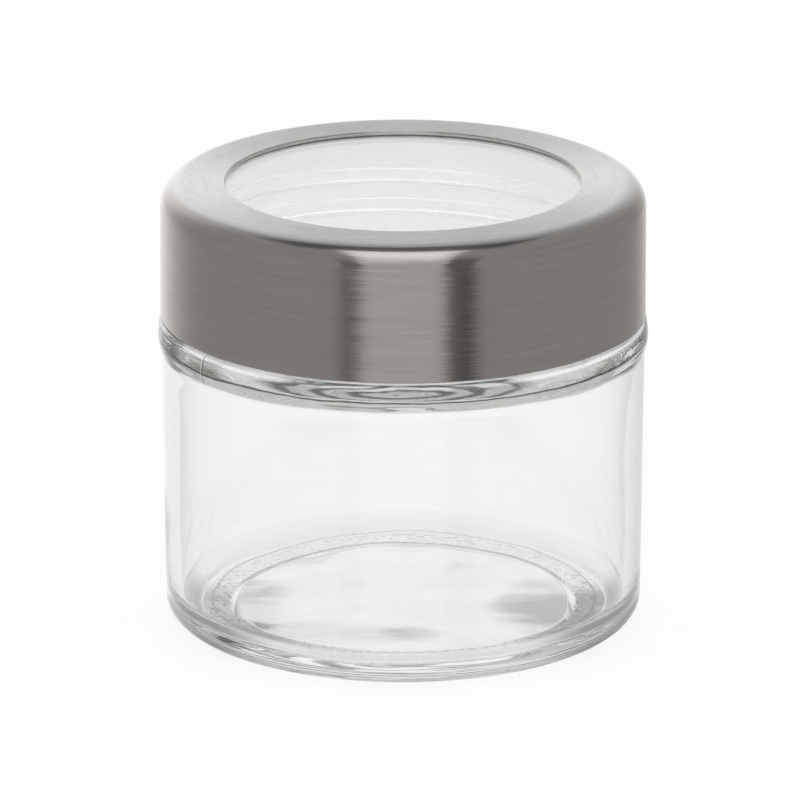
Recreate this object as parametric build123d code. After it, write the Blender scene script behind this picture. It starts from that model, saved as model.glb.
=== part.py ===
from build123d import *
from math import cos, pi, sin
import os

# Spice jar with a screw lid, turned about the Z axis, in millimetres.
# The jar stands on Z = 0 and the origin is the centre of its base.

# Whole object
total_height = 60.8
lid_diameter = 65.0
lid_height = 18.2

# Pressed steel shell of the lid
steel = 0.5
lid_draft = 0.1
lid_corner = 3.2
window_border = 8.6
hem_width = 1.35
steel_edge = 0.12

# Clear threaded insert that the shell is crimped over
shell_fit = 0.05
skirt_wall = 1.25
plate = 1.4
insert_edge = 0.3
rib_width = 0.9
rib_depth = 0.8

# Sealing ring that lies between the insert and the jar's rim
seal_thickness = 1.0
seal_overhang = 0.4
seal_edge = 0.2
seal_fit = 0.05
seal_rib_gap = 0.1

# Glass body
body_inset = 0.1
body_draft = 0.3
wall = 2.2
base_thickness = 2.6
floor_round = 3.2
heel_round = 3.2
heel_lift = 0.7
foot_inset = 5.5
foot_width = 3.1
foot_round = 0.8
foot_edge = 0.4
push_up = 0.8
push_up_slope = 1.2

# Glass bead, shoulder and neck
lid_gap = 0.35
bead_stand = 0.5
bead_height = 4.6
bead_rise = 1.6
bead_fall = 2.0
bead_slope = 0.35
bead_blend = 2.5
bead_round = 1.0
shoulder_drop = 3.6
shoulder_round = 2.0
neck_wall = 2.6
neck_root_round = 0.7
rim_round = 0.9

# Screw thread, right handed and with one start
thread_pitch = 4.23
thread_height = 1.4
thread_clearance = 0.3
thread_root = 2.6
thread_crest = 1.0
thread_bite = 0.4
rim_to_thread = 3.4
foot_to_thread = 1.7
jar_thread_turns = 1.75
insert_thread_turns = 1.25
fade_turn_share = 0.12
steps_per_turn = 36

# Radii, from the lid inwards
lid_radius = lid_diameter / 2
lid_top_radius = lid_radius - lid_draft
hole_radius = lid_top_radius - window_border
insert_radius = lid_top_radius - steel - shell_fit
skirt_radius = insert_radius - skirt_wall
jar_crest_radius = skirt_radius - thread_clearance
neck_radius = jar_crest_radius - thread_height
insert_crest_radius = neck_radius + thread_clearance
mouth_radius = neck_radius - neck_wall
rib_radius = mouth_radius - seal_overhang - seal_rib_gap - seal_fit
body_radius = lid_radius - body_inset
bead_radius = body_radius + bead_stand
heel_radius = body_radius - body_draft

# Heights, from the top down
shell_under = total_height - steel
plate_under = shell_under - plate
seal_top = plate_under - seal_fit
seal_bottom = seal_top - seal_thickness
rim_height = seal_bottom - seal_fit
lid_bottom = total_height - lid_height
insert_foot = lid_bottom + steel
shoulder_height = lid_bottom - lid_gap
bead_bottom = shoulder_height - bead_height

# The lid's thread hangs under the jar's by the width of both flanks and the clearance
flank_slope = (thread_root - thread_crest) / 2 / thread_height
flank_width = thread_root - flank_slope * (thread_height + thread_clearance)
thread_offset = flank_width + thread_clearance
jar_thread_low = rim_height - rim_to_thread - jar_thread_turns * thread_pitch
insert_thread_low = insert_foot + foot_to_thread


def turned(corners):
    """Solid of revolution of a closed outline of (radius, height, corner round) rows."""
    points = [(radius, height) for radius, height, _ in corners]
    rounds = [corner for _, _, corner in corners]
    outline = FilletPolyline(*points, radius=rounds, close=True)
    return revolve(Plane.XZ * make_face(outline), axis=Axis.Z)


def thread_section(turn, height, base, crest):
    """Flat trapezium standing on the axis plane at one point of the helix."""
    angle = 2 * pi * turn
    base_half = thread_crest / 2 + flank_slope * (thread_height + thread_bite)
    crest_half = thread_crest / 2
    rows = [
        (base, -base_half),
        (base, base_half),
        (crest, crest_half),
        (crest, -crest_half),
    ]
    corners = [(r * cos(angle), r * sin(angle), height + z) for r, z in rows]
    return make_face(Polyline(*corners, close=True))


def thread_ridge(root, outward, low, first_turn, turns):
    """Helical ridge on a wall of radius root, which fades into the wall at both ends."""
    base = root - outward * thread_bite
    steps = round(turns * steps_per_turn)
    sections = []
    for step in range(steps + 1):
        turn = turns * step / steps
        fade = min(turn, turns - turn, fade_turn_share) / fade_turn_share
        sunk = base + outward * thread_bite / 2
        crest = sunk + (root + outward * thread_height - sunk) * fade
        sections.append(
            thread_section(first_turn + turn, low + turn * thread_pitch, base, crest)
        )
    return loft(sections, ruled=True)


def glass_jar():
    """Heel, straight wall, bead, shoulder and threaded neck in one piece of glass."""
    inner_radius = body_radius - wall
    foot_radius = heel_radius - foot_inset
    foot_inner = foot_radius - foot_width
    shoulder_low = shoulder_height - shoulder_drop
    shape = turned([
        (0, push_up, 0),
        (foot_inner - push_up_slope, push_up, push_up),
        (foot_inner, 0, foot_edge),
        (foot_radius, 0, foot_round),
        (heel_radius, heel_lift, heel_round),
        (body_radius, bead_bottom, bead_blend),
        (bead_radius, bead_bottom + bead_rise, bead_blend),
        (bead_radius, shoulder_height - bead_fall, bead_blend),
        (bead_radius - bead_slope, shoulder_height, bead_round),
        (neck_radius, shoulder_height, neck_root_round),
        (neck_radius, rim_height, rim_round),
        (mouth_radius, rim_height, rim_round),
        (mouth_radius, shoulder_height, shoulder_round),
        (inner_radius, shoulder_low, shoulder_round),
        (inner_radius - body_draft, base_thickness, floor_round),
        (0, base_thickness, 0),
    ])
    return shape + thread_ridge(neck_radius, 1, jar_thread_low, 0, jar_thread_turns)


def lid_shell():
    """Drawn steel cup with the window hole in its top and its lower edge turned in."""
    inner_low = lid_radius - steel
    return turned([
        (hole_radius, shell_under, steel_edge),
        (hole_radius, total_height, steel_edge),
        (lid_top_radius, total_height, lid_corner),
        (lid_radius, lid_bottom, steel / 2),
        (lid_radius - hem_width, lid_bottom, steel_edge),
        (lid_radius - hem_width, insert_foot, steel_edge),
        (inner_low, insert_foot, 0),
        (lid_top_radius - steel, shell_under, lid_corner - steel),
    ])


def threaded_insert():
    """Clear moulding: window plate under the steel, ribbed seat and threaded skirt."""
    rib_inner = rib_radius - rib_width
    shape = turned([
        (0, shell_under, 0),
        (insert_radius, shell_under, lid_corner - steel),
        (insert_radius, insert_foot, insert_edge),
        (skirt_radius, insert_foot, insert_edge),
        (skirt_radius, plate_under, insert_edge),
        (rib_radius, plate_under, 0),
        (rib_radius, plate_under - rib_depth, insert_edge),
        (rib_inner, plate_under - rib_depth, insert_edge),
        (rib_inner, plate_under, insert_edge),
        (0, plate_under, 0),
    ])
    first_turn = (insert_thread_low + thread_offset - jar_thread_low) / thread_pitch
    ridge = thread_ridge(
        skirt_radius, -1, insert_thread_low, first_turn, insert_thread_turns
    )
    return shape + ridge


def seal_ring():
    """Flat soft ring, wider than the rim on both sides."""
    inner = rib_radius + seal_rib_gap
    outer = neck_radius + seal_overhang
    return turned([
        (inner, seal_bottom, seal_edge),
        (outer, seal_bottom, seal_edge),
        (outer, seal_top, seal_edge),
        (inner, seal_top, seal_edge),
    ])


pieces = {
    "glass_jar": glass_jar,
    "lid_shell": lid_shell,
    "threaded_insert": threaded_insert,
    "seal_ring": seal_ring,
}

os.makedirs("parts", exist_ok=True)
for name, make in pieces.items():
    solid = make()
    solid.label = name
    export_step(solid, f"parts/{name}.step")
    print(name, round(solid.volume), "mm3")
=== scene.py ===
from math import cos, pi, radians, sin

import bpy
import numpy as np
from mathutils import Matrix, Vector


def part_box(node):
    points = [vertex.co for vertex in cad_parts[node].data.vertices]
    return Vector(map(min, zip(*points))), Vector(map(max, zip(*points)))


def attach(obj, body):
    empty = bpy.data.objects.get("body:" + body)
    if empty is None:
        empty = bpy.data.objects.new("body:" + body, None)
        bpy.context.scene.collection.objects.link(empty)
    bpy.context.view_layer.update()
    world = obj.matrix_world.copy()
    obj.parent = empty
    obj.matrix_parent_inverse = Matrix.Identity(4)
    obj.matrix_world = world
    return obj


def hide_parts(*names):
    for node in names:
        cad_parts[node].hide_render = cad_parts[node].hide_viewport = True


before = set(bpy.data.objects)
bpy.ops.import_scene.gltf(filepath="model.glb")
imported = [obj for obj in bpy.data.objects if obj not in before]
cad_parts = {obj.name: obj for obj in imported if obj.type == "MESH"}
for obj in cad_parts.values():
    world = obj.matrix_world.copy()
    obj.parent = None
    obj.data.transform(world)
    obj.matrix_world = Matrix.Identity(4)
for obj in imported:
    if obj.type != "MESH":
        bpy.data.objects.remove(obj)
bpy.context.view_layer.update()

# A glass spice jar with a brushed steel screw lid. Lengths are in metres and the jar's axis is Z.
MM = 0.001

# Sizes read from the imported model
jar_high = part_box("glass_jar")[1]
shell_low, shell_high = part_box("lid_shell")
insert_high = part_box("threaded_insert")[1]
seal_low, seal_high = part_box("seal_ring")
RIM_HEIGHT = jar_high.z
BEAD_RADIUS = jar_high.x
LID_RADIUS = shell_high.x
LID_TOP = shell_high.z
LID_BOTTOM = shell_low.z
INSERT_RADIUS = insert_high.x
SEAL_RADIUS = seal_high.x

# Steel shell
STEEL = 0.5 * MM
LID_DRAFT = 0.1 * MM
LID_CORNER = 3.2 * MM
HOLE_RADIUS = 23.8 * MM
HEM_WIDTH = 1.35 * MM
STEEL_EDGE = 0.12 * MM

# Clear insert and seal
SKIRT_WALL = 1.25 * MM
PLATE = 1.4 * MM
INSERT_EDGE = 0.3 * MM
RIB_WIDTH = 0.9 * MM
RIB_DEPTH = 0.8 * MM
SEAL_EDGE = 0.2 * MM
SEAL_OVERHANG = 0.4 * MM
SEAL_RIB_GAP = 0.1 * MM
SEAL_FIT = 0.05 * MM

# Glass
BEAD_STAND = 0.5 * MM
BODY_DRAFT = 0.3 * MM
WALL = 2.2 * MM
BASE = 2.6 * MM
FLOOR_ROUND = 3.2 * MM
HEEL_ROUND = 3.2 * MM
HEEL_LIFT = 0.7 * MM
FOOT_INSET = 5.5 * MM
FOOT_WIDTH = 3.1 * MM
FOOT_ROUND = 0.8 * MM
FOOT_EDGE = 0.4 * MM
PUSH_UP = 0.8 * MM
PUSH_UP_SLOPE = 1.2 * MM
LID_GAP = 0.35 * MM
BEAD_HEIGHT = 4.6 * MM
BEAD_RISE = 1.6 * MM
BEAD_FALL = 2.0 * MM
BEAD_SLOPE = 0.35 * MM
BEAD_BLEND = 2.5 * MM
BEAD_ROUND = 1.0 * MM
SHOULDER_DROP = 3.6 * MM
SHOULDER_ROUND = 2.0 * MM
NECK_WALL = 2.6 * MM
NECK_ROOT_ROUND = 0.7 * MM
RIM_ROUND = 0.9 * MM

# Screw thread
PITCH = 4.23 * MM
THREAD_HEIGHT = 1.4 * MM
THREAD_CLEARANCE = 0.3 * MM
THREAD_ROOT = 2.6 * MM
THREAD_CREST = 1.0 * MM
RIM_TO_THREAD = 3.4 * MM
FOOT_TO_THREAD = 1.7 * MM
JAR_THREAD_TURNS = 1.75
INSERT_THREAD_TURNS = 1.25
FADE_TURN_SHARE = 0.12

# Derived radii and heights
BODY_RADIUS = BEAD_RADIUS - BEAD_STAND
FOOT_HIGH_RADIUS = BODY_RADIUS - BODY_DRAFT - FOOT_INSET
FOOT_LOW_RADIUS = FOOT_HIGH_RADIUS - FOOT_WIDTH
SKIRT_RADIUS = INSERT_RADIUS - SKIRT_WALL
NECK_RADIUS = SKIRT_RADIUS - THREAD_CLEARANCE - THREAD_HEIGHT
MOUTH_RADIUS = NECK_RADIUS - NECK_WALL
RIB_RADIUS = MOUTH_RADIUS - SEAL_OVERHANG - SEAL_RIB_GAP - SEAL_FIT
SHELL_UNDER = LID_TOP - STEEL
PLATE_UNDER = SHELL_UNDER - PLATE
INSERT_FOOT = LID_BOTTOM + STEEL
SHOULDER_HEIGHT = LID_BOTTOM - LID_GAP
BEAD_BOTTOM = SHOULDER_HEIGHT - BEAD_HEIGHT
FLANK_SLOPE = (THREAD_ROOT - THREAD_CREST) / 2 / THREAD_HEIGHT
FLANK_WIDTH = THREAD_ROOT - FLANK_SLOPE * (THREAD_HEIGHT + THREAD_CLEARANCE)
JAR_THREAD_LOW = RIM_HEIGHT - RIM_TO_THREAD - JAR_THREAD_TURNS * PITCH
INSERT_THREAD_LOW = INSERT_FOOT + FOOT_TO_THREAD
INSERT_FIRST_TURN = (
    INSERT_THREAD_LOW + FLANK_WIDTH + THREAD_CLEARANCE - JAR_THREAD_LOW
) / PITCH

# Unevenness of the glass, as rows of waves: height in millimetres, waves a turn, radians
# a millimetre up, and shift. The floor's rows have radians a millimetre along x and y.
WALL_WAVES = ((0.018, 3, 0.21, 0.4), (0.012, 7, -0.33, 1.9), (0.008, 12, 0.15, 4.1))
SHOULDER_WAVES = ((0.10, 5, 0.5, 0.9), (0.07, 9, -0.7, 2.2), (0.05, 14, 0.9, 5.0))
BEAD_WAVES = ((0.020, 4, 0.4, 1.1), (0.012, 11, -0.5, 3.4))
FLOOR_WAVES = ((0.07, 0.33, 0.22, 0.3), (0.05, -0.24, 0.45, 2.6), (0.03, 0.61, -0.38, 4.4))

# Plane of the mould's parting
SEAM_ANGLE = radians(36)

# Heights of the bumps: dots and seams on the glass, flow waves and matt grain on the plastic
STIPPLE_HEIGHT = 0.15 * MM
FLOW_HEIGHT = 0.02 * MM
GRAIN_HEIGHT = 0.05 * MM

# Cells a metre of the noises
GLASS_RIPPLE = 70.0
GLASS_DOTS = 1100.0
PLASTIC_FLOW = 130.0
PLASTIC_CLOUD = 260.0
PLASTIC_GRAIN = 6000.0
SILICONE_CLOUD = 300.0
SILICONE_GRAIN = 5000.0

# Brush lines: cells for each radius round the axis, cells a metre across the lines, and
# the noise's detail and roughness
FINE_LINES = (3.2, 4200, 3.0, 0.6)
BROAD_LINES = (1.5, 900, 2.0, 0.5)
MOTTLE_LINES = (9.0, 1500, 3.0, 0.6)

# Steel: how far the lines tilt the normal, how strongly they and the top's mottle show in
# the colour, and the gloss
BRUSH_TILT = 0.09
STREAK = 2.6
MOTTLE = 2.0
STEEL_ROUGH = 0.29
STEEL_ANISO = 0.96
CORNER_POLISH = 0.16

# Painted shade in the bead, in swirled ovals: the middle and half size of its ovals, and its dark
# line
BEAD_SHADE_TURN = radians(-92)
BEAD_SHADE_HALF_TURN = radians(33)
BEAD_SHADE_HEIGHT = 41.2 * MM
BEAD_SHADE_HALF_HEIGHT = 1.6 * MM
BEAD_SHADE_LINE = 40.0 * MM

# Strength of the painted shade in the glass
RING_GREY = 0.26
CHEEK_GREY = 0.8
FLOOR_GREY = 0.7
HEEL_GREY = 0.9
UNDER_LID_SHADOW = 0.4
LINE_GREY = 0.6
# Blots of painted shade on the push-up: middle x and y, half width and half depth, in millimetres
BLOTS = ((-10, -14, 12, 5), (19, -5, 6, 10), (-21, -6, 5, 13))

# Colours, in pairs where a cloud goes from one to the other
STEEL_SIDE = ((0.57, 0.53, 0.505, 1), (0.68, 0.63, 0.60, 1))
# Painted sheen: the top's steel is paler and less warm than the side's, standing in for the
# brighter light it mirrors
STEEL_TOP_SHEEN = ((0.585, 0.57, 0.555, 1), (0.69, 0.675, 0.66, 1))
CLEAR_GLASS = ((0.98, 0.988, 0.982, 1), (0.99, 0.992, 0.99, 1))
# Painted shade: the dark grey the glass is blended towards in the bead, under the lid, in the
# base and on the slanted wall
PAINTED_SHADE_GLASS = (0.03, 0.032, 0.035, 1)
CLEAR_PLASTIC = ((0.985, 0.987, 0.987, 1), (0.995, 0.995, 0.995, 1))
MILKY_PLASTIC = ((0.91, 0.905, 0.895, 1), (0.95, 0.945, 0.935, 1))
SILICONE = ((0.70, 0.71, 0.71, 1), (0.80, 0.81, 0.81, 1))
FLOOR_COLOUR = (0.9, 0.9, 0.9, 1)
WHITE = (1, 1, 1, 1)

# Light that the steel mirrors, and the light of all other rays but the camera's
ROOM_LIGHT = 0.30
BACK_LIGHT = 0.85
CARD_LIGHT = 0.2
LAMP_LIGHT = 0.56
LEFT_GAP = 0.27
RIGHT_GAP = 0.335
REAR_DARK = 0.7
PLAIN_LIGHT = 0.9

# Shade overhead and at the sides for light that the clear pieces bend
HIGH_FROM = 0.35
HIGH_EDGE = 0.5
HIGH_DARK = 0.45
ASIDE_FROM = 0.3
ASIDE_EDGE = 0.65
ASIDE_DARK = 0.35

# Share of the floor that takes shadows, seen straight and seen through glass
FLOOR_SHARE = 0.12
BENT_FLOOR_SHARE = 0.3

# Mesh fineness, and the distance under which a point counts as on the axis or a wall
COLUMNS = 288
ARC_STEP = radians(6)
RUN_STEP = 1.6 * MM
THREAD_STEP = 0.16 * MM
NEAR_AXIS = 1e-9
NEAR_WALL = 0.01 * MM


def rounded(corners, fine_runs=()):
    """Closed outline of (radius, height, round) rows, each corner replaced by an arc.

    An arc starts and ends where its circle touches the two runs: the round times the
    tangent of half the turn away from the corner. Runs are cut into equal steps, and
    the runs that leave the corners in fine_runs into much finer ones.
    """
    points = np.array([row[:2] for row in corners], float)
    ahead = np.roll(points, -1, axis=0) - points
    ahead /= np.linalg.norm(ahead, axis=1)[:, None]
    behind = np.roll(ahead, 1, axis=0)
    cross = behind[:, 0] * ahead[:, 1] - behind[:, 1] * ahead[:, 0]
    turns = np.arctan2(cross, (behind * ahead).sum(axis=1))
    arcs = []
    for point, before, turn, row in zip(points, behind, turns, corners):
        radius = row[2]
        if radius == 0 or abs(turn) < 1e-6:
            arcs.append(point[None, :])
            continue
        reach = radius * np.tan(abs(turn) / 2)
        steps = max(2, round(abs(turn) / ARC_STEP))
        swept = np.linspace(0, abs(turn), steps + 1)[:, None]
        side = np.sign(turn) * np.array([-before[1], before[0]])
        start = point - before * reach
        arcs.append(start + radius * (np.sin(swept) * before + (1 - np.cos(swept)) * side))
    line = []
    for index, arc in enumerate(arcs):
        following = arcs[(index + 1) % len(arcs)][0]
        step = THREAD_STEP if index in fine_runs else RUN_STEP
        count = max(1, round(float(np.linalg.norm(following - arc[-1]) / step)))
        share = np.linspace(0, 1, count + 1)[1:-1, None]
        line += [arc, arc[-1] + share * (following - arc[-1])]
    return np.vstack(line)


def linked(name, data):
    """New object in the scene."""
    made = bpy.data.objects.new(name, data)
    bpy.context.scene.collection.objects.link(made)
    return made


def turned(name, outline, body, shape=None):
    """Mesh of a closed outline turned about Z: (radius cos a, radius sin a, height).

    An outline that runs along the axis is open there instead, and a fan of triangles
    round one point closes each end. shape takes the grids of radius, height and angle
    and returns new grids of radius and height.
    """
    ahead = np.roll(outline, -1, axis=0)
    if (outline[:, 0] * ahead[:, 1] - ahead[:, 0] * outline[:, 1]).sum() < 0:
        outline = outline[::-1]
    on_axis = outline[:, 0] < NEAR_AXIS
    leaves = np.flatnonzero(np.roll(on_axis, 1) & ~on_axis)
    if len(leaves):
        outline = np.roll(outline, -int(leaves[0]), axis=0)
        poles = outline[outline[:, 0] < NEAR_AXIS]
        outline = outline[outline[:, 0] >= NEAR_AXIS]
        outline = np.vstack([outline, poles[-1:], poles[:1]])
    radius = np.repeat(outline[:, :1], COLUMNS, axis=1)
    height = np.repeat(outline[:, 1:], COLUMNS, axis=1)
    angle = np.broadcast_to(np.arange(COLUMNS) * (2 * pi / COLUMNS), radius.shape)
    if shape is not None:
        radius, height = shape(radius, height, angle)
    if len(leaves):
        pole_heights = height[-2:, 0]
        radius, height, angle = radius[:-2], height[:-2], angle[:-2]
    grid = np.stack([radius * np.cos(angle), radius * np.sin(angle), height], axis=2)
    index = np.arange(radius.size).reshape(radius.shape)
    beside = np.roll(index, -1, axis=1)
    above = np.roll(index, -1, axis=0)
    quads = np.stack([index, beside, np.roll(above, -1, axis=1), above], axis=2)
    points = grid.reshape(-1, 3)
    faces = quads.reshape(-1, 4).tolist()
    if len(leaves):
        faces = quads[:-1].reshape(-1, 4).tolist()
        ends = np.array([[0, 0, h] for h in pole_heights])
        first, last = len(points), len(points) + 1
        points = np.vstack([points, ends])
        faces += [[first, b, a] for a, b in zip(index[0].tolist(), beside[0].tolist())]
        faces += [[last, a, b] for a, b in zip(index[-1].tolist(), beside[-1].tolist())]
    mesh = bpy.data.meshes.new(name)
    mesh.from_pydata(points.tolist(), [], faces)
    mesh.update()
    mesh.shade_smooth()
    piece = linked(name, mesh)
    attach(piece, body)
    return piece


def thread_height(height, angle, low, first_turn, turns):
    """Share of the full thread height, 0 to 1, at each point of a neck or skirt.

    The thread's middle climbs one pitch a turn. The share is 1 on the crest, falls in
    an S curve over each flank, and falls to 0 over a short turn at either end.
    """
    share = np.zeros_like(height)
    for lap in range(int(turns) + 3):
        turn = angle / (2 * pi) - first_turn % 1 + lap - 1
        off = np.abs(height - low - turn * PITCH)
        flank = np.clip((THREAD_ROOT / 2 - off) / ((THREAD_ROOT - THREAD_CREST) / 2), 0, 1)
        end = np.clip(np.minimum(turn, turns - turn) / FADE_TURN_SHARE, 0, 1)
        share = np.maximum(share, flank * flank * (3 - 2 * flank) * end)
    return share


def waves(rows, first, second):
    """Sum of sines: size * sin(f * first + s * second + shift) for each row."""
    return sum(size * MM * np.sin(f * first + s * second + shift) for size, f, s, shift in rows)


def hump(values, low, high):
    """Smooth hump from 0 at low over 1 halfway to 0 at high: sin(pi * share) squared."""
    share = np.clip((values - low) / (high - low), 0, 1)
    return np.sin(pi * share) ** 2


def glass_shape(radius, height, angle):
    """Raises the thread on the neck and makes the pressed glass as uneven as it is.

    Slow sines bend the inner wall, the floor and most of all the shoulder, where the
    glass was blown out under the neck. The outside is true but for the bead, whose
    waves only go inwards.
    """
    on_neck = (np.abs(radius - NECK_RADIUS) < NEAR_WALL) & (height > SHOULDER_HEIGHT)
    share = thread_height(height, angle, JAR_THREAD_LOW, 0, JAR_THREAD_TURNS)
    x, y = radius * np.cos(angle) / MM, radius * np.sin(angle) / MM
    lining = (radius < BODY_RADIUS - WALL + 0.05 * MM) & (height > PUSH_UP + 0.2 * MM)
    lining = lining & (height < RIM_HEIGHT - RIM_ROUND)
    climb = np.clip((height - BASE) / FLOOR_ROUND, 0, 1)
    ground = lining * (1 - climb) ** 2
    upright = lining * climb ** 2
    shoulder = upright * hump(height, BEAD_BOTTOM - 4 * MM, SHOULDER_HEIGHT + 3 * MM)
    bead = (radius > BODY_RADIUS - 0.2 * MM) * hump(height, BEAD_BOTTOM - 1 * MM, SHOULDER_HEIGHT)
    tall = height / MM
    radius = radius + upright * waves(WALL_WAVES, angle, tall)
    radius = radius + shoulder * waves(SHOULDER_WAVES, angle, tall)
    bead_depth = sum(row[0] for row in BEAD_WAVES) * MM
    radius = radius + bead * (waves(BEAD_WAVES, angle, tall) - bead_depth)
    height = height + ground * waves(FLOOR_WAVES, x, y)
    return radius + on_neck * share * THREAD_HEIGHT, height


def glass_jar():
    """Heel, straight wall, bead, shoulder and threaded neck in one piece of glass."""
    inner_radius = BODY_RADIUS - WALL
    heel_radius = BODY_RADIUS - BODY_DRAFT
    corners = [
        (0, PUSH_UP, 0),
        (FOOT_LOW_RADIUS - PUSH_UP_SLOPE, PUSH_UP, PUSH_UP),
        (FOOT_LOW_RADIUS, 0, FOOT_EDGE),
        (FOOT_HIGH_RADIUS, 0, FOOT_ROUND),
        (heel_radius, HEEL_LIFT, HEEL_ROUND),
        (BODY_RADIUS, BEAD_BOTTOM, BEAD_BLEND),
        (BEAD_RADIUS, BEAD_BOTTOM + BEAD_RISE, BEAD_BLEND),
        (BEAD_RADIUS, SHOULDER_HEIGHT - BEAD_FALL, BEAD_BLEND),
        (BEAD_RADIUS - BEAD_SLOPE, SHOULDER_HEIGHT, BEAD_ROUND),
        (NECK_RADIUS, SHOULDER_HEIGHT, NECK_ROOT_ROUND),
        (NECK_RADIUS, RIM_HEIGHT, RIM_ROUND),
        (MOUTH_RADIUS, RIM_HEIGHT, RIM_ROUND),
        (MOUTH_RADIUS, SHOULDER_HEIGHT, SHOULDER_ROUND),
        (inner_radius, SHOULDER_HEIGHT - SHOULDER_DROP, SHOULDER_ROUND),
        (inner_radius - BODY_DRAFT, BASE, FLOOR_ROUND),
        (0, BASE, 0),
    ]
    neck_run = 9
    return turned("glass", rounded(corners, [neck_run]), "jar", glass_shape)


def lid_shell():
    """Drawn steel cup with the window hole in its top and its lower edge turned in."""
    top_radius = LID_RADIUS - LID_DRAFT
    corners = [
        (HOLE_RADIUS, SHELL_UNDER, STEEL_EDGE),
        (HOLE_RADIUS, LID_TOP, STEEL_EDGE),
        (top_radius, LID_TOP, LID_CORNER),
        (LID_RADIUS, LID_BOTTOM, STEEL / 2),
        (LID_RADIUS - HEM_WIDTH, LID_BOTTOM, STEEL_EDGE),
        (LID_RADIUS - HEM_WIDTH, INSERT_FOOT, STEEL_EDGE),
        (LID_RADIUS - STEEL, INSERT_FOOT, 0),
        (top_radius - STEEL, SHELL_UNDER, LID_CORNER - STEEL),
    ]
    return turned("steel_shell", rounded(corners), "lid")


def insert_shape(radius, height, angle):
    """Raises the thread inwards from the skirt."""
    on_skirt = np.abs(radius - SKIRT_RADIUS) < NEAR_WALL
    share = thread_height(
        height, angle, INSERT_THREAD_LOW, INSERT_FIRST_TURN, INSERT_THREAD_TURNS
    )
    return radius - on_skirt * share * THREAD_HEIGHT, height


def threaded_insert():
    """Clear moulding: window plate under the steel, ribbed seat and threaded skirt."""
    rib_inner = RIB_RADIUS - RIB_WIDTH
    rib_foot = PLATE_UNDER - RIB_DEPTH
    corners = [
        (0, SHELL_UNDER, 0),
        (INSERT_RADIUS, SHELL_UNDER, LID_CORNER - STEEL),
        (INSERT_RADIUS, INSERT_FOOT, INSERT_EDGE),
        (SKIRT_RADIUS, INSERT_FOOT, INSERT_EDGE),
        (SKIRT_RADIUS, PLATE_UNDER, INSERT_EDGE),
        (RIB_RADIUS, PLATE_UNDER, 0),
        (RIB_RADIUS, rib_foot, INSERT_EDGE),
        (rib_inner, rib_foot, INSERT_EDGE),
        (rib_inner, PLATE_UNDER, INSERT_EDGE),
        (0, PLATE_UNDER, 0),
    ]
    skirt_run = 3
    return turned("clear_insert", rounded(corners, [skirt_run]), "lid", insert_shape)


def seal_ring():
    """Flat soft ring, wider than the rim on both sides."""
    inner = RIB_RADIUS + SEAL_RIB_GAP
    corners = [
        (inner, seal_low.z, SEAL_EDGE),
        (SEAL_RADIUS, seal_low.z, SEAL_EDGE),
        (SEAL_RADIUS, seal_high.z, SEAL_EDGE),
        (inner, seal_high.z, SEAL_EDGE),
    ]
    return turned("soft_seal", rounded(corners), "seal")


class Socket:
    """One output of a shader node, which takes part in sums by adding nodes."""

    def __init__(self, tree, output):
        self.tree = tree
        self.output = output

    def math(self, operation, *others):
        values = dict(enumerate((self, *others)))
        return self.tree.node("ShaderNodeMath", {"operation": operation}, values)

    def __add__(self, other):
        return self.math("ADD", other)

    def __sub__(self, other):
        return self.math("SUBTRACT", other)

    def __rsub__(self, other):
        return self.tree.node(
            "ShaderNodeMath", {"operation": "SUBTRACT"}, {0: other, 1: self}
        )

    def __mul__(self, other):
        return self.math("MULTIPLY", other)

    def __truediv__(self, other):
        return self.math("DIVIDE", other)

    __radd__ = __add__
    __rmul__ = __mul__


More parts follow.
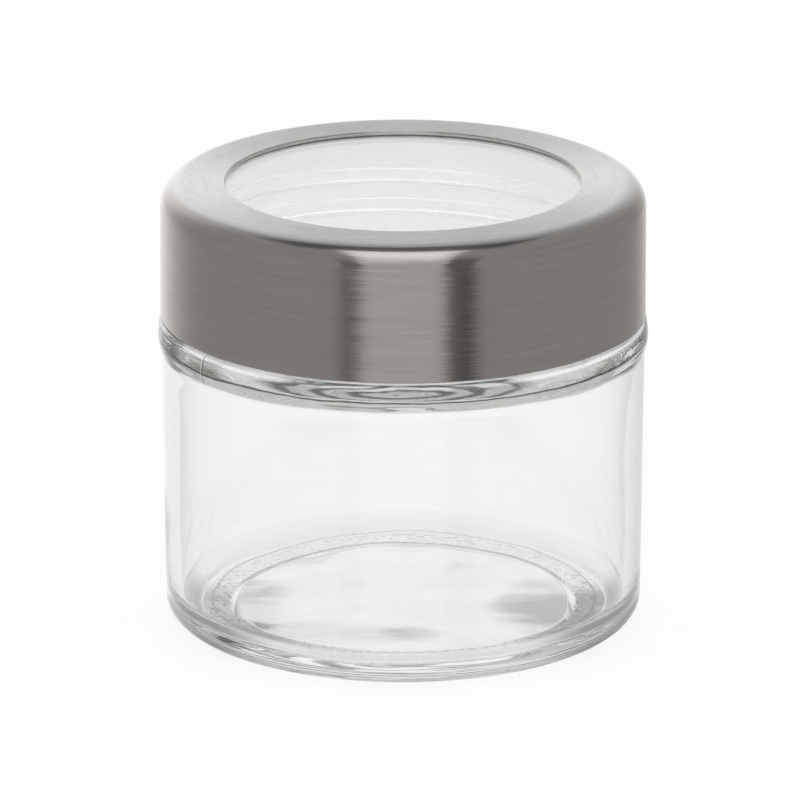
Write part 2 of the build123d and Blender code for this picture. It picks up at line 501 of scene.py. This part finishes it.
class Tree:
    """A node tree that is filled by calls."""

    def __init__(self, owner):
        owner.use_nodes = True
        self.nodes = owner.node_tree.nodes
        self.links = owner.node_tree.links
        self.nodes.clear()

    def node(self, kind, settings=None, values=None, output=0):
        """Adds a node, sets its settings, then its sockets, and returns one output."""
        added = self.nodes.new(kind)
        for name, value in (settings or {}).items():
            setattr(added, name, value)
        for name, value in (values or {}).items():
            if isinstance(value, Socket):
                self.links.new(value.output, added.inputs[name])
            else:
                added.inputs[name].default_value = value
        if not added.outputs:
            return added
        return Socket(self, added.outputs[output])

    def outputs(self, kind, *names, values=None):
        """Several outputs of one added node."""
        node = self.node(kind, None, values).output.node
        return [Socket(self, node.outputs[name]) for name in names]

    def vector(self, operation, *values):
        """Vector Math on vectors, or on a vector and a number for SCALE."""
        inputs = dict(enumerate(values))
        if operation == "SCALE":
            inputs = {0: values[0], "Scale": values[1]}
        return self.node("ShaderNodeVectorMath", {"operation": operation}, inputs)

    def point(self, x, y, z):
        """Vector of three numbers."""
        return self.node("ShaderNodeCombineXYZ", None, {"X": x, "Y": y, "Z": z})

    def blend(self, share, first, second):
        """Colour that goes from the first to the second as share goes from 0 to 1."""
        colour_output = 2
        inputs = {0: share, 6: first, 7: second}
        return self.node("ShaderNodeMix", {"data_type": "RGBA"}, inputs, colour_output)

    def bump(self, height, distance, strength=1.0):
        """Normal bent by a height, which distance turns into metres."""
        inputs = {"Strength": strength, "Distance": distance, "Height": height}
        return self.node("ShaderNodeBump", None, inputs)

    def surface(self, shader):
        """Ends the tree in a shader."""
        self.node("ShaderNodeOutputMaterial", None, {"Surface": shader})

    def smooth(self, value, low, high):
        """0 below low, 1 above high and an S curve between."""
        return self.node(
            "ShaderNodeMapRange",
            {"interpolation_type": "SMOOTHSTEP", "clamp": True},
            {"Value": value, "From Min": low, "From Max": high},
        )

    def band(self, value, low, high, edge):
        """1 from low to high, falling to 0 over one edge width on both sides."""
        return self.smooth(value, low - edge, low) * (1 - self.smooth(value, high, high + edge))

    def noise(self, place, scale, detail=2.0, roughness=0.5, output=0):
        """Cloudy noise, about 0.5 on average."""
        values = {"Vector": place, "Scale": scale, "Detail": detail, "Roughness": roughness}
        return self.node("ShaderNodeTexNoise", None, values, output)

    def place(self):
        """Place on the object, in metres."""
        return self.node("ShaderNodeTexCoord", None, None, "Object")

    def parts(self, place):
        """x, y and z of a place or direction, and its distance from the axis."""
        x, y, z = self.outputs("ShaderNodeSeparateXYZ", "X", "Y", "Z", values={0: place})
        return x, y, z, (x * x + y * y + 1e-12).math("SQRT")


def new_material(name):
    """A material and its empty tree."""
    material = bpy.data.materials.new(name)
    return material, Tree(material)


def steel_material():
    """Steel brushed round the axis, on the side and in rings on the top.

    Brush lines are noise drawn out round the axis: its place is the unit vector from
    the axis times a small number, and the height less the distance from the axis times
    a large one. They tilt the normal a little and vary the colour and the gloss. The
    flat top's colour is painted paler and less warm, a painted sheen for the brighter
    light it mirrors, and the top is mottled in short rings. The drawn corner is smoother.
    """
    material, tree = new_material("brushed_steel")
    x, y, z, out = tree.parts(tree.place())

    def drawn(lines, output=0):
        """Noise drawn out round the axis."""
        turn, rings, detail, rough = lines
        place = tree.point(x / out * turn, y / out * turn, (z - out) * rings)
        return tree.noise(place, 1.0, detail, rough, output)

    fine, broad, mottle = drawn(FINE_LINES), drawn(BROAD_LINES), drawn(MOTTLE_LINES)
    tilt = tree.vector("SUBTRACT", drawn(FINE_LINES, "Color"), (0.5, 0.5, 0.5))
    normal = tree.node("ShaderNodeNewGeometry", None, None, "Normal")
    bent = tree.vector("ADD", normal, tree.vector("SCALE", tilt, BRUSH_TILT))
    bent = tree.vector("NORMALIZE", bent)
    corner = tree.smooth(z, LID_TOP - 3.2 * MM, LID_TOP - 2.2 * MM)
    corner = corner * (1 - tree.smooth(z, LID_TOP - 0.25 * MM, LID_TOP + 0.05 * MM))
    corner = corner * tree.smooth(out, LID_RADIUS - 3.4 * MM, LID_RADIUS - 2.8 * MM)
    roughness = STEEL_ROUGH + (fine - 0.5) * 0.12 - corner * CORNER_POLISH
    flat = tree.smooth(z, LID_TOP - 0.2 * MM, LID_TOP - 0.05 * MM)
    wear = (fine * 0.7 + broad * 0.3 - 0.5) * STREAK + 0.5
    wear = wear + (mottle - 0.5) * flat * MOTTLE
    # Painted sheen: towards the flat top the colour goes over to the paler, less warm steel
    top_sheen = tree.smooth(z, LID_TOP - 1.5 * MM, LID_TOP - 0.2 * MM)
    brush_tone_and_sheen = tree.blend(top_sheen, tree.blend(wear, *STEEL_SIDE), tree.blend(wear, *STEEL_TOP_SHEEN))
    tree.surface(tree.node("ShaderNodeBsdfPrincipled", None, {
        "Base Color": brush_tone_and_sheen,
        "Metallic": 1.0,
        "Roughness": roughness,
        "Anisotropic": STEEL_ANISO,
        "Anisotropic Rotation": 0.25,
        "Normal": bent,
    }))
    return material


def painted_bead_shade(tree, x, y, z, out):
    """Share of painted shade in the bead's glass, 0 to 1.

    A dark line and a faint band run round the bead. Over them lie a few flat streaks,
    and at the front ovals: stripes of sin(rings * d + cloud), where d is the distance
    from the ovals' middle in their half width round the axis and half height along it.
    The lip beside the neck is a little grey: a painted shadow under the lid's edge.
    """
    outside = tree.smooth(out, BODY_RADIUS - 0.6 * MM, BODY_RADIUS - 0.3 * MM)
    turn_cells, height_cells = 2.6, 420
    flat = tree.point(x / out * turn_cells, y / out * turn_cells, z * height_cells)
    cloud = tree.noise(flat, 1.0, 3.0, 0.55)
    wavy = z + (cloud - 0.5) * (0.9 * MM)
    line = tree.band(wavy, BEAD_SHADE_LINE - 0.05 * MM, BEAD_SHADE_LINE + 0.05 * MM, 0.12 * MM)
    under = tree.band(wavy, BEAD_BOTTOM + 1.0 * MM, BEAD_SHADE_LINE, 0.2 * MM)
    above = tree.band(wavy, BEAD_SHADE_LINE + 0.35 * MM, SHOULDER_HEIGHT + 1 * MM, 0.1 * MM)
    turn = (y.math("ARCTAN2", x) - BEAD_SHADE_TURN) / BEAD_SHADE_HALF_TURN
    rise = (wavy - BEAD_SHADE_HEIGHT) / BEAD_SHADE_HALF_HEIGHT
    away = (turn * turn + rise * rise).math("SQRT")
    rings, swirl = 21, 15
    stripe = tree.smooth((away * rings + cloud * swirl).math("SINE"), -0.5, 0.7)
    front = 1 - tree.smooth(away, 0.85, 1.15)
    broad = tree.smooth(cloud, 0.5, 0.62)
    streaks = front * (0.5 + stripe * 0.47) + (1 - front) * broad * 0.4
    # Painted shadow: a grey band on the lip beside the neck, just under the lid's edge
    lip = tree.smooth(z, SHOULDER_HEIGHT - 0.3 * MM, SHOULDER_HEIGHT - 0.1 * MM)
    lip = lip * (1 - tree.smooth(z, SHOULDER_HEIGHT + 0.2 * MM, SHOULDER_HEIGHT + 0.4 * MM))
    lip = lip * tree.smooth(out, BODY_RADIUS - 3 * MM, BODY_RADIUS - 2 * MM) * UNDER_LID_SHADOW
    # Painted shade: the dark line, the bands and the ovals darken the bead's glass
    bead_shade = (above * streaks + line * 0.93 + under * 0.25).math("MINIMUM", 1.0)
    return outside * bead_shade + lip


def painted_base_shade(tree, place, x, y, z, out):
    """Share of painted shade in the glass of the base, 0 to 1.

    The foot ring and the heel are painted a little grey all round and more so at the
    front, most of all at its left and right: painted shade. Flat clouds of painted shade
    lie in oval blots on the push-up, and a thin painted dark line runs round the floor inside.
    """
    cloud_cells = (60.0, 130.0, 200.0)
    flat = tree.vector("MULTIPLY", place, cloud_cells)
    cloud = tree.noise(flat, 1.0, 3.0, 0.55)
    under = 1 - tree.smooth(z, 1.0 * MM, 1.8 * MM)
    ring = tree.band(out, FOOT_LOW_RADIUS - 0.4 * MM, FOOT_HIGH_RADIUS + 1 * MM, 0.4 * MM)
    before = 1 - tree.smooth(y / out, 0.0, 0.35)
    aside = x / out
    cheek = tree.smooth(aside * -1, 0.2, 0.8) * 0.93 + tree.smooth(aside, 0.5, 0.85)
    side = before * tree.smooth(aside.math("ABSOLUTE"), 0.55, 0.85)
    wavy = 0.8 + tree.smooth(cloud, 0.35, 0.6) * 0.15
    inside = 1 - tree.smooth(out, FOOT_LOW_RADIUS - 1.2 * MM, FOOT_LOW_RADIUS - 0.4 * MM)
    blots = 0.25
    for middle_x, middle_y, half_x, half_y in BLOTS:
        across = (x - middle_x * MM) / (half_x * MM)
        along = (y - middle_y * MM) / (half_y * MM)
        away = across * across + along * along + (0.5 - cloud) * 3
        blots = (1 - tree.smooth(away, 0.0, 1.8)) + blots
    inside = inside * blots * (0.45 + tree.smooth(cloud, 0.4, 0.6) * 0.55)
    heel = tree.smooth(out, FOOT_HIGH_RADIUS + 1 * MM, FOOT_HIGH_RADIUS + 2 * MM)
    heel = heel * (1 - tree.smooth(z, 1.5 * MM, 4.5 * MM))
    heel = heel * (0.1 + before * 0.22 + side * 0.68)
    line_radius = BODY_RADIUS - WALL - BODY_DRAFT - FLOOR_ROUND - 0.7 * MM
    line = tree.band(out, line_radius - 0.1 * MM, line_radius + 0.1 * MM, 0.15 * MM)
    line = line * tree.smooth(z, 2.0 * MM, 2.2 * MM) * (1 - tree.smooth(z, 3 * MM, 3.5 * MM))
    # Painted shade: the ring greys most at the front's left and right
    ring = ring * wavy * (RING_GREY + before * cheek * CHEEK_GREY)
    return under * (ring + inside * FLOOR_GREY) + heel * HEEL_GREY + line * LINE_GREY


def glass_material():
    """Pressed glass with slow ripples, two mould seams and a stippled foot ring.

    The height of the bump is a slow cloud, plus a ridge where the outside crosses the
    plane of the mould's parting, plus small dots on the ring that the jar stands on.
    The dots are frosted a little. The glass is grey in the bead and the base, and where
    the wall above the heel is seen at a slant, all of it painted shade.
    """
    material, tree = new_material("jar_glass")
    place = tree.place()
    x, y, z, out = tree.parts(place)
    ripple = tree.noise(place, GLASS_RIPPLE, 1.0)
    aside = (x * sin(SEAM_ANGLE) - y * cos(SEAM_ANGLE)).math("ABSOLUTE")
    seam = 1 - tree.smooth(aside, 0.04 * MM, 0.22 * MM)
    seam = seam * tree.smooth(out, BODY_RADIUS - 1.2 * MM, BODY_RADIUS - 0.9 * MM)
    seam = seam * (0.04 + tree.smooth(z, BEAD_BOTTOM, BEAD_BOTTOM + BEAD_RISE))
    cells = tree.node("ShaderNodeTexVoronoi", None, {"Vector": place, "Scale": GLASS_DOTS})
    dots = 1 - tree.smooth(cells, 0.15, 0.55)
    dots = dots * tree.band(out, FOOT_LOW_RADIUS, FOOT_HIGH_RADIUS, 0.4 * MM)
    dots = dots * (1 - tree.smooth(z, 0.25 * MM, 0.5 * MM))
    dots = dots * (1 - tree.smooth(y / out, -0.6, 0.5) * 0.6)
    height = ripple * 0.10 + seam * 0.5 + dots
    # Painted shade: the wall above the heel is darker where it is seen at a slant, by the sixth
    # power of the facing weight
    slant = tree.node("ShaderNodeLayerWeight", None, {"Blend": 0.5}, "Facing")
    edge = slant.math("POWER", 6.0) * tree.smooth(z, 5 * MM, 10 * MM)
    grey = painted_bead_shade(tree, x, y, z, out) + painted_base_shade(tree, place, x, y, z, out) + edge
    clear = tree.blend(ripple, *CLEAR_GLASS)
    tree.surface(tree.node("ShaderNodeBsdfPrincipled", None, {
        "Base Color": tree.blend(grey.math("MINIMUM", 1.0), clear, PAINTED_SHADE_GLASS),
        "Roughness": dots * 0.12,
        "IOR": 1.52,
        "Transmission Weight": 1.0,
        "Normal": tree.bump(height, STIPPLE_HEIGHT),
    }))
    return material


def plastic_material():
    """Moulded plastic, clear in the window and milky on the ribs and the skirt round it.

    Soft flow waves run through the clear part. The window's fine handling scratches are
    noise drawn out along two crossing directions, cut off so that only the strongest
    streaks are left. The milky part has a cloudy colour and a fine matt grain.
    """
    material, tree = new_material("clear_plastic")
    place = tree.place()
    x, y, z, out = tree.parts(place)
    flow = tree.noise(place, PLASTIC_FLOW, 1.0)
    along = tree.point(x * 90 + y * 60, y * 2600 - x * 3900, z)
    cross = tree.point(x * 110 - y * 70, y * 3100 + x * 4900, z)
    streak = tree.noise(along, 1.0, 1.0).math("MAXIMUM", tree.noise(cross, 1.0, 1.0))
    scratch = tree.smooth(streak, 0.70, 0.80)
    clear = tree.node("ShaderNodeBsdfPrincipled", None, {
        "Base Color": tree.blend(flow, *CLEAR_PLASTIC),
        "Roughness": scratch * 0.05,
        "IOR": 1.49,
        "Transmission Weight": 1.0,
        "Normal": tree.bump(flow * 0.3 - scratch * 0.1, FLOW_HEIGHT),
    })
    cloud = tree.noise(place, PLASTIC_CLOUD, 3.0)
    grain = tree.noise(place, PLASTIC_GRAIN, 1.0)
    milky = tree.node("ShaderNodeBsdfPrincipled", None, {
        "Base Color": tree.blend(cloud, *MILKY_PLASTIC),
        "Roughness": 0.35 + cloud * 0.15,
        "IOR": 1.49,
        "Normal": tree.bump(grain, GRAIN_HEIGHT, 0.1),
    })
    beyond = tree.smooth(out, HOLE_RADIUS + 0.3 * MM, HOLE_RADIUS + 0.5 * MM)
    tree.surface(tree.node("ShaderNodeMixShader", None, {0: beyond, 1: clear, 2: milky}))
    return material


def silicone_material():
    """Milky soft silicone with a faint cloudiness and a fine matt grain."""
    material, tree = new_material("silicone")
    place = tree.place()
    cloud = tree.noise(place, SILICONE_CLOUD, 3.0)
    grain = tree.noise(place, SILICONE_GRAIN, 1.0)
    tree.surface(tree.node("ShaderNodeBsdfPrincipled", None, {
        "Base Color": tree.blend(cloud, *SILICONE),
        "Roughness": 0.4 + cloud * 0.1,
        "Subsurface Weight": 0.2,
        "Subsurface Scale": 2 * MM,
        "Normal": tree.bump(grain, GRAIN_HEIGHT, 0.15),
    }))
    return material


def studio_world():
    """White room for the camera, and what mirrored and bent light sees instead of it.

    The steel mirrors a card, a lamp, two gaps, a bright back and a darker band above it.
    The clear pieces bend light to shades overhead and at the sides.
    """
    world = bpy.data.worlds.new("studio")
    bpy.context.scene.world = world
    tree = Tree(world)
    direction = tree.node("ShaderNodeTexCoord", None, None, "Generated")
    x, y, z = tree.outputs("ShaderNodeSeparateXYZ", "X", "Y", "Z", values={0: direction})
    # Degrees up from the front: 90 is overhead or underneath, 180 is behind the jar
    turn = z.math("ABSOLUTE").math("ARCTAN2", y * -1) * (180 / pi)
    upper = tree.smooth(z, -0.05, 0.05)
    front = 1 - tree.smooth(turn, 84, 92)
    back = tree.smooth(x, -0.95, -0.15) * (1 - tree.smooth(x, -0.15, 0.7))
    back = back * tree.smooth(turn, 112, 166) * BACK_LIGHT
    card = tree.band(x, -0.295, 0.295, 0.035) * front * CARD_LIGHT
    lamp = tree.band(x, -0.21, 0.20, 0.13) * tree.smooth(turn, 25, 66) * front * upper
    # The gaps are deepest below, which is what the lid's side mirrors
    depth = 1 - tree.smooth(z, -0.28, -0.08) * 0.5
    left = tree.band(x, -0.46, -0.36, 0.03) * (1 - tree.smooth(turn, 25, 55)) * LEFT_GAP
    right = tree.band(x, 0.36, 0.51, 0.05) * (1 - tree.smooth(turn, 35, 60)) * RIGHT_GAP
    rear = tree.band(turn, 94, 112, 7) * tree.band(x, -0.42, 0.40, 0.1) * upper
    glossy = ROOM_LIGHT + back + card + lamp * LAMP_LIGHT - (left + right) * depth
    glossy = glossy * (1 - rear * REAR_DARK)
    high = tree.smooth(z, HIGH_FROM, HIGH_FROM + HIGH_EDGE)
    aside = tree.smooth(x.math("ABSOLUTE"), ASIDE_FROM, ASIDE_FROM + ASIDE_EDGE)
    through = 1 - high * HIGH_DARK - aside * ASIDE_DARK
    camera, mirrored, refracted, scattered = tree.outputs(
        "ShaderNodeLightPath",
        "Is Camera Ray", "Is Glossy Ray", "Is Transmission Ray", "Diffuse Depth",
    )
    straight = mirrored * glossy + (1 - mirrored) * PLAIN_LIGHT
    seen = refracted * through + (1 - refracted) * straight
    # Light that has left a matt face is plain white, bent or not
    matt = scattered.math("MINIMUM", 1.0)
    seen = matt + (1 - matt) * seen
    strength = camera + (1 - camera) * seen
    background = tree.node("ShaderNodeBackground", None, {"Color": WHITE, "Strength": strength})
    tree.node("ShaderNodeOutputWorld", None, {"Surface": background})


def floor():
    """Pale floor that shows white and keeps a trace of the jar's shadow.

    It lies a hair under the jar's foot. It is clear from below, for views of the base,
    and to mirrored light.
    """
    size = 1.5
    drop = -0.05 * MM
    mesh = bpy.data.meshes.new("floor")
    corners = [(-size, -size, drop), (size, -size, drop), (size, size, drop), (-size, size, drop)]
    mesh.from_pydata(corners, [], [(0, 1, 2, 3)])
    plane = linked("floor", mesh)
    material, tree = new_material("floor")
    mirrored, refracted = tree.outputs(
        "ShaderNodeLightPath", "Is Glossy Ray", "Is Transmission Ray"
    )
    diffuse = tree.node("ShaderNodeBsdfDiffuse", None, {"Color": FLOOR_COLOUR})
    glow = tree.node("ShaderNodeEmission", None, {"Color": WHITE, "Strength": 1.0})
    share = refracted * BENT_FLOOR_SHARE + (1 - refracted) * FLOOR_SHARE
    lit = tree.node("ShaderNodeMixShader", None, {0: share, 1: glow, 2: diffuse})
    clear = tree.node("ShaderNodeBsdfTransparent")
    below = tree.node("ShaderNodeNewGeometry", None, None, "Backfacing")
    away = (mirrored * (1 - refracted)).math("MAXIMUM", below)
    tree.surface(tree.node("ShaderNodeMixShader", None, {0: away, 1: lit, 2: clear}))
    mesh.materials.append(material)


def camera():
    """Camera at the photograph's place, fitted to the outline of the jar."""
    distance = 1042.4 * MM
    elevation = radians(17.83)
    aim = Vector((0, 0, 30 * MM))
    focal_pixels = 7752
    frame_pixels = 800
    axis_pixel = 403.04
    data = bpy.data.cameras.new("camera")
    eye = linked("camera", data)
    eye.location = aim + distance * Vector((0, -cos(elevation), sin(elevation)))
    eye.rotation_mode = "QUATERNION"
    eye.rotation_quaternion = (aim - eye.location).to_track_quat("-Z", "Y")
    data.sensor_width = 36
    data.lens = focal_pixels / frame_pixels * data.sensor_width
    data.shift_x = -(axis_pixel - frame_pixels / 2) / frame_pixels
    data.clip_end = 10
    bpy.context.scene.camera = eye


def dress(piece, node, material):
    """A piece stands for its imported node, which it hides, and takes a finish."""
    piece.data.materials.append(material)
    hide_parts(node)


dress(glass_jar(), "glass_jar", glass_material())
dress(lid_shell(), "lid_shell", steel_material())
dress(threaded_insert(), "threaded_insert", plastic_material())
dress(seal_ring(), "seal_ring", silicone_material())
studio_world()
floor()
camera()

scene = bpy.context.scene
scene.view_settings.view_transform = "Standard"
scene.cycles.blur_glossy = 0.0
scene.cycles.max_bounces = 48
scene.cycles.transmission_bounces = 40
scene.cycles.glossy_bounces = 40
